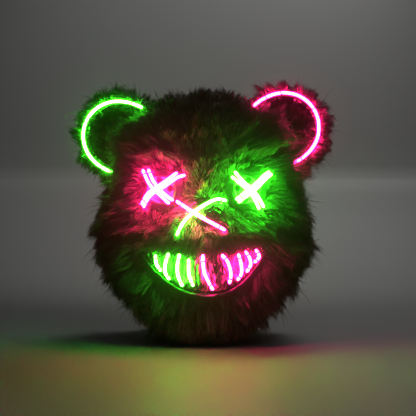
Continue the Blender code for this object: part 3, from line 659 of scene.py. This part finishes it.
def outside(spot):
    """Whether a point of the ear lies outside the head."""
    hit, normal, _, _ = head_tree.find_nearest(Vector(spot))
    return (Vector(spot) - hit).dot(normal) > -0.001


EAR_PROFILE = (
    (0.0000, -0.0052), (0.0184, -0.0042), (0.0322, 0.0026), (0.0386, 0.0094), (0.0432, 0.0078),
    (0.0460, 0.0010), (0.0428, -0.0073), (0.0313, -0.0135), (0.0001, -0.0166),
)
LINING_RADIUS = 0.0371
lining_finish = Finish("ear_lining", base_color=(0.014, 0.011, 0.010), roughness=0.95)
lining_finish.bump(lining_finish.blotches(420.0, 4.0), 0.0006)
for name, side in (("left", -1), ("right", 1)):
    low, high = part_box("ear_inner_" + name)
    edge = high.x - LINING_RADIUS if side > 0 else low.x + LINING_RADIUS
    centre = np.array([edge, 0.016, high.z - LINING_RADIUS])
    profile = through([Vector((r, h, 0)) for r, h in EAR_PROFILE], 3)
    around = 56
    turns = [2 * math.pi * k / around for k in range(around)]
    ring = np.array([[(point.x * math.cos(turn), -point.y, point.x * math.sin(turn))
                      for turn in turns] for point in profile])
    body = ring.reshape(-1, 3) + centre
    quads = [(i * around + k, i * around + (k + 1) % around, (i + 1) * around + (k + 1) % around,
              (i + 1) * around + k) for i in range(len(profile) - 1) for k in range(around)]

    quads = [quad for quad in quads if outside(body[list(quad)].mean(axis=0))]
    ear = piece_from("ear_backing_" + name, joined("ear_backing_" + name, [(body, quads)]))
    bm = bmesh.new()
    bm.from_mesh(ear.data)
    bmesh.ops.recalc_face_normals(bm, faces=bm.faces)
    bmesh.ops.delete(bm, geom=[vertex for vertex in bm.verts if not vertex.link_faces], context="VERTS")
    bm.normal_update()
    front = [face for face in bm.faces if face.calc_center_median().y < 0.010]
    if sum(face.normal.y * face.calc_area() for face in front) > 0:
        bmesh.ops.reverse_faces(bm, faces=bm.faces)
        bm.normal_update()
    bm.to_mesh(ear.data)
    bmesh.ops.triangulate(bm, faces=bm.faces)
    bm.verts.index_update()
    skin = (np.array([vertex.co for vertex in bm.verts]),
            np.array([[vertex.index for vertex in face.verts] for face in bm.faces]),
            np.array([vertex.normal for vertex in bm.verts]))
    bm.free()
    belongs(ear, backing_finish, "fur", "ear_fur_" + name)
    draw = np.random.default_rng(70 + side)
    spots, facing = scatter(skin, 16000, draw)
    out = (spots - centre) * [1, 0, 1]
    reach = np.linalg.norm(out, axis=1)
    front = spots[:, 1] < 0.016 - 0.0020
    free = (reach > 0.0345) | ~front
    spots, facing, out, reach, front = (part[free] for part in (spots, facing, out, reach, front))
    inner = front & (reach < 0.0395)
    back = np.where(front, 0.0, 0.55)[:, None] * [0, 1, 0]
    flow = unit(out) * np.where(inner, -1.0, 1.0)[:, None] + back
    swirl = np.array([0.5 * noise.noise(Vector(spot) * 45.0) for spot in spots])[:, None]
    spin = np.cross(unit(out), [0, 1, 0]) * swirl
    lengths = np.where(inner, 0.0078, 0.0165) * draw.uniform(0.7, 1.2, len(spots))
    strands = grow(spots, facing, flow + 1.6 * spin, lengths, skin_area(skin), draw, lift=0.7)
    clear = clear_of_wires(strands, draw, room=0.0022)
    pile = ribbons("ear_fur_pile_" + name, strands[clear], facing[clear], draw)
    belongs(pile, fur, "fur")
    lining = smooth_copy("ear_lining_" + name, "ear_inner_" + name, 1)
    belongs(lining, lining_finish, "lining", "ear_inner_" + name)


# Eyes: oval patches of fine dark mesh over the eye openings,
# with a four-hole button sewn on each.


def wrinkle(obj, amount, scale, stretch=(1, 1, 1)):
    """Moves the points of a fine mesh along their normals by folded noise."""
    mesh = obj.data
    for vertex, normal in zip(mesh.vertices, [vertex.normal.copy() for vertex in mesh.vertices]):
        where = Vector(a * b for a, b in zip(vertex.co, stretch))
        fold = 1 - abs(2 * noise.noise(where * scale)) - 0.6 * abs(noise.noise(where * 2.3 * scale))
        vertex.co += amount * (fold - 0.8) * normal
    mesh.update()


BUTTON_RADIUS = 0.0168
BUTTON_PROFILE = (
    (0.0, 0.0023), (0.0116, 0.0024), (0.0129, 0.0028), (0.0137, 0.0035), (0.0148, 0.0038), (0.0160, 0.0036),
    (0.0167, 0.0028), (BUTTON_RADIUS, 0.0019), (0.0162, 0.0008), (0.0150, 0.0001), (0.0, 0.0),
)
BUTTON_HOLE_RADIUS = 0.0034
BUTTON_HOLE_REACH = 0.01085


def sewn_button(name, node):
    """A turned four-hole button with a rolled rim, laid exactly where the CAD one is."""
    points = np.array([vertex.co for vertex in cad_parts[node].data.vertices])
    middle = points.mean(axis=0)
    axis = Vector(np.linalg.svd(points - middle)[2][2])
    axis = -axis if axis.y > 0 else axis
    heights = (points - middle) @ np.array(axis)
    turn = Vector((0, 0, 1)).rotation_difference(axis).to_matrix().to_4x4()
    place = Matrix.Translation(Vector(middle) + float(heights.min()) * axis) @ turn
    around = 72
    rings = [[(r * math.cos(2 * math.pi * k / around), r * math.sin(2 * math.pi * k / around), h)
              for k in range(around)] for r, h in BUTTON_PROFILE]
    corners = [point for ring in rings for point in ring]
    faces = [(i * around + k, (i + 1) * around + k,
              (i + 1) * around + (k + 1) % around, i * around + (k + 1) % around)
             for i in range(len(rings) - 1) for k in range(around)]
    obj = piece_from(name, joined(name, [(corners, faces)]))
    bm = bmesh.new()
    bm.from_mesh(obj.data)
    bmesh.ops.remove_doubles(bm, verts=bm.verts, dist=0.00001)
    bmesh.ops.recalc_face_normals(bm, faces=bm.faces)
    bm.to_mesh(obj.data)
    bm.free()
    cutters = []
    for k in range(4):
        angle = k * math.pi / 2
        hole = bmesh.new()
        bmesh.ops.create_cone(hole, cap_ends=True, segments=28, radius1=BUTTON_HOLE_RADIUS,
                              radius2=BUTTON_HOLE_RADIUS, depth=0.02)
        mesh = bpy.data.meshes.new("hole")
        hole.to_mesh(mesh)
        hole.free()
        cutter = piece_from("hole", mesh)
        cutter.location = (BUTTON_HOLE_REACH * math.cos(angle),
                           BUTTON_HOLE_REACH * math.sin(angle), 0)
        cutters.append(cutter)
        through_it = obj.modifiers.new("hole", "BOOLEAN")
        through_it.object = cutter
        through_it.solver = "EXACT"
    edge = obj.modifiers.new("edge", "BEVEL")
    edge.width = 0.00035
    edge.segments = 2
    edge.angle_limit = 0.9
    bpy.context.view_layer.update()
    settle(obj)
    for cutter in cutters:
        bpy.data.objects.remove(cutter)
    obj.data.transform(place)
    obj.data.shade_smooth()
    return obj


mesh_finish = Finish("eye_mesh_cloth", base_color=(0.050, 0.036, 0.060), roughness=0.30)
thread = {"Vector": mesh_finish.place, "Scale": 520.0}
weave = mesh_finish.node("TexWave", {"bands_direction": "X"}, thread, "Fac")
weft = mesh_finish.node("TexWave", {"bands_direction": "Z"}, thread, "Fac")
mesh_finish.bump(weave + weft + 3.0 * mesh_finish.blotches(140.0, 2.0), 0.0004)
button_finish = Finish("button_plastic", base_color=(0.110, 0.098, 0.105), roughness=0.20,
                       coat_weight=0.5)
for name in ("left", "right"):
    patch = smooth_copy("eye_cloth_" + name, "eye_patch_" + name, 3)
    wrinkle(patch, 0.0009, 130.0)
    belongs(patch, mesh_finish, "eye_mesh", "eye_patch_" + name)
    button = sewn_button("button_" + name, "eye_button_" + name)
    belongs(button, button_finish, "button", "eye_button_" + name)


# Nose: a small stuffed triangle of glossy black leathercloth, wrinkled all over.
nose_finish = Finish("nose_leathercloth", base_color=(0.016, 0.013, 0.014), roughness=0.20,
                     coat_weight=0.4)
nose_finish.bump(nose_finish.blotches(700.0, 3.0), 0.0005)
nose = smooth_copy("nose_cushion", "nose_pad", 2)
wrinkle(nose, 0.0011, 120.0)
belongs(nose, nose_finish, "nose", "nose_pad")


# Grin: a thin glossy panel gathered into upright creases, stretched over the mouth, with painted shade in
# the creases' hollows.
panel_finish = Finish("grin_sheet", roughness=0.22, coat_weight=0.4)
creases_and_painted_shade = panel_finish.blotches(330.0, 5.0, (1.0, 0.3, 0.22))
crumple = panel_finish.blotches(620.0, 4.0, (1.0, 0.5, 0.6))
# Painted shade: the base colour follows the crease relief, near black in its hollows and pale on its
# ridges.
panel_finish.set(base_color=panel_finish.between(
    panel_finish.node("MapRange", None, {"Value": creases_and_painted_shade, "From Min": 0.40, "From Max": 0.62}),
    (0.012, 0.006, 0.008), (0.24, 0.16, 0.18)))
panel_finish.bump(creases_and_painted_shade + 0.5 * crumple, 0.0022)
panel = smooth_copy("grin_panel", "mouth_panel", 3)
wrinkle(panel, 0.0022, 230.0, (1.0, 0.4, 0.25))
belongs(panel, panel_finish, "panel", "mouth_panel")


# Unlit wire that zigzags over the middle of the grin, and two small eyelets beside it, on the panel.


def front_line(tree, route, radius):
    """A smooth line through x and z, lying on the front of what the tree holds."""
    flat = through([Vector((x, 0, z)) for x, z in route], 6)
    line = []
    for point in flat:
        hit = tree.ray_cast(Vector((point.x, -0.3, point.z)), Vector((0, 1, 0)))[0]
        line.append(Vector((point.x, hit.y - 0.9 * radius, point.z)))
    return line


EYELET_RADIUS = 0.0012
on_panel = tree_of(panel)
dark_finish = Finish("unlit_wire", base_color=(0.020, 0.016, 0.020), roughness=0.35)
shapes = []
for route, radius in ((((0.0190, 0.0955), (0.0165, 0.0875), (0.0118, 0.0735)), 0.0011),
                      (((0.0185, 0.0950), (0.0235, 0.0880), (0.0262, 0.0800)), 0.0007)):
    line = front_line(on_panel, route, radius)
    shapes.append(tube(line, [radius] * len(line), 10))
for x, z in ((0.0099, 0.0855), (0.0198, 0.0840)):
    seat = on_panel.ray_cast(Vector((x, -0.3, z)), Vector((0, 1, 0)))[0]
    turns = [k * math.pi / 8 for k in range(17)]
    ring = [seat + Vector((EYELET_RADIUS * math.cos(turn), -0.0003, EYELET_RADIUS * math.sin(turn)))
            for turn in turns]
    shapes.append(tube(ring, [0.0005] * len(ring), 8))
unlit = piece_from("unlit_wire_zigzag", joined("unlit_wire_zigzag", shapes))
belongs(unlit, dark_finish, "strap")


# Lip: a padded black roll along the grin's lower edge.
lip_finish = Finish("lip_leathercloth", base_color=(0.012, 0.010, 0.011), roughness=0.3, coat_weight=0.2)
lip_finish.bump(lip_finish.blotches(480.0, 3.0), 0.0007)
lip = smooth_copy("grin_lip", "mouth_lip", 2)
wrinkle(lip, 0.0007, 240.0)
belongs(lip, lip_finish, "lip", "mouth_lip")


# Ties: pairs of short loops of dark thread that hold the wires down, near both ends of the ear, nose and
# tooth wires, near one end of the eye wires, and at the middle of the ear wires.


def tie(point, ahead, radius=0.0021, thread=0.00036):
    """A closed loop of thread round the wire at this point."""
    side = ahead.orthogonal().normalized()
    up = ahead.cross(side)
    turns = [k * math.pi / 9 for k in range(19)]
    ring = [point + radius * (math.cos(turn) * side + math.sin(turn) * up) for turn in turns]
    return tube(ring, [thread] * len(ring), 6)


TIE_SHARES = {"ear": (0.10, 0.5, 0.93), "eye": (0.09,), "nose": (0.08, 0.92), "tooth": (0.12, 0.88)}
shapes = []
for node, line in lines.items():
    for share in TIE_SHARES[node.split("_")[0]]:
        i = min(len(line) - 2, max(1, round(share * (len(line) - 1))))
        ahead = (line[i + 1] - line[i - 1]).normalized()
        for shift in (-0.00035, 0.00035):
            shapes.append(tie(line[i] + shift * ahead, ahead))
ties = piece_from("wire_ties", joined("wire_ties", shapes))
belongs(ties, dark_finish, "strap")


# Strap: flat woven elastic across the open back.
strap_finish = Finish("woven_elastic", base_color=(0.016, 0.016, 0.017), roughness=0.8)
ribs = strap_finish.node("TexWave", {"bands_direction": "Z"},
                         {"Vector": strap_finish.place, "Scale": 160.0}, "Fac")
strap_finish.bump(ribs + 0.5 * strap_finish.blotches(900.0), 0.0006)
strap = smooth_copy("elastic_strap", "head_strap", 0, sharp=0.8)
belongs(strap, strap_finish, "strap", "head_strap")


# Stage: a floor that sweeps up into a narrow wall, dim soft studio light and the camera at the
# photo's angle. The wall leaves the views from behind free.
FLOOR_HALF_WIDTH = 1.6
WALL_HALF_WIDTH = 0.45
floor_line = [Vector((0, y, z)) for y, z in (
    (-1.6, 0), (-0.2, 0), (0.45, 0), (0.62, 0.03), (0.74, 0.14), (0.78, 0.34), (0.78, 1.6))]
floor_rows = through(floor_line, 6)
floor_points = [
    (side * (FLOOR_HALF_WIDTH if row.z < 0.001 else WALL_HALF_WIDTH), row.y, row.z)
    for row in floor_rows for side in (-1, 1)]
floor_faces = [(2 * i, 2 * i + 1, 2 * i + 3, 2 * i + 2) for i in range(len(floor_rows) - 1)]
floor = piece_from("studio_floor", joined("studio_floor", [(floor_points, floor_faces)]))
dress(floor, Finish("studio_paper", base_color=(0.34, 0.34, 0.33), roughness=0.6))
floor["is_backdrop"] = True


def area_light(name, where, target, size, power, colour=(1, 1, 1)):
    data = bpy.data.lights.new(name, "AREA")
    data.shape = "RECTANGLE"
    data.size, data.size_y = size
    data.energy = power
    data.color = colour
    lamp = piece_from(name, data)
    lamp.location = where
    lamp.rotation_euler = (Vector(target) - Vector(where)).to_track_quat("-Z", "Y").to_euler()
    return lamp


area_light("key_softbox", (0.25, -0.75, 0.95), (0, 0, 0.15), (0.8, 0.5), 0.7, (1.0, 0.98, 0.95))
area_light("back_softbox", (0.30, 0.60, 0.85), (0, 0.05, 0.16), (0.5, 0.4), 2.5)
pool = bpy.data.lights.new("wall_spot", "SPOT")
pool.energy = 24.0
pool.spot_size = math.radians(62)
pool.spot_blend = 1.0
wall_spot = piece_from("wall_spot", pool)
wall_spot.location = (0.0, -0.25, 1.25)
wall_middle = Vector((0, 0.78, 0.33))
wall_spot.rotation_euler = (wall_middle - wall_spot.location).to_track_quat("-Z", "Y").to_euler()

world = bpy.data.worlds.new("studio")
bpy.context.scene.world = world
world.use_nodes = True
world.node_tree.nodes["Background"].inputs["Color"].default_value = (0.5, 0.52, 0.55, 1)
world.node_tree.nodes["Background"].inputs["Strength"].default_value = 0.014

scene = bpy.context.scene
scene.view_settings.view_transform = "Standard"
scene.use_nodes = True
nodes = scene.node_tree.nodes
nodes.clear()
picture = nodes.new("CompositorNodeRLayers")
bloom = nodes.new("CompositorNodeGlare")
bloom.glare_type = "BLOOM"
for name, value in (("Threshold", 1.0), ("Strength", 0.10), ("Size", 0.35)):
    bloom.inputs[name].default_value = value
contrast = nodes.new("CompositorNodeGamma")
contrast.inputs["Gamma"].default_value = 1.25
shown = nodes.new("CompositorNodeComposite")
scene.node_tree.links.new(picture.outputs["Image"], bloom.inputs["Image"])
scene.node_tree.links.new(bloom.outputs["Image"], contrast.inputs["Image"])
scene.node_tree.links.new(contrast.outputs["Image"], shown.inputs["Image"])
lens = bpy.data.cameras.new("camera")
camera = piece_from("camera", lens)
lens.lens = 85
look_at = Vector((0.0045, -0.02, 0.151))
rise = math.radians(3.0)
distance = 1.10
camera.location = look_at + distance * Vector((0, -math.cos(rise), math.sin(rise)))
camera.rotation_euler = (look_at - camera.location).to_track_quat("-Z", "Y").to_euler()
lens.clip_start = 0.01
scene.camera = camera

low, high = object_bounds()
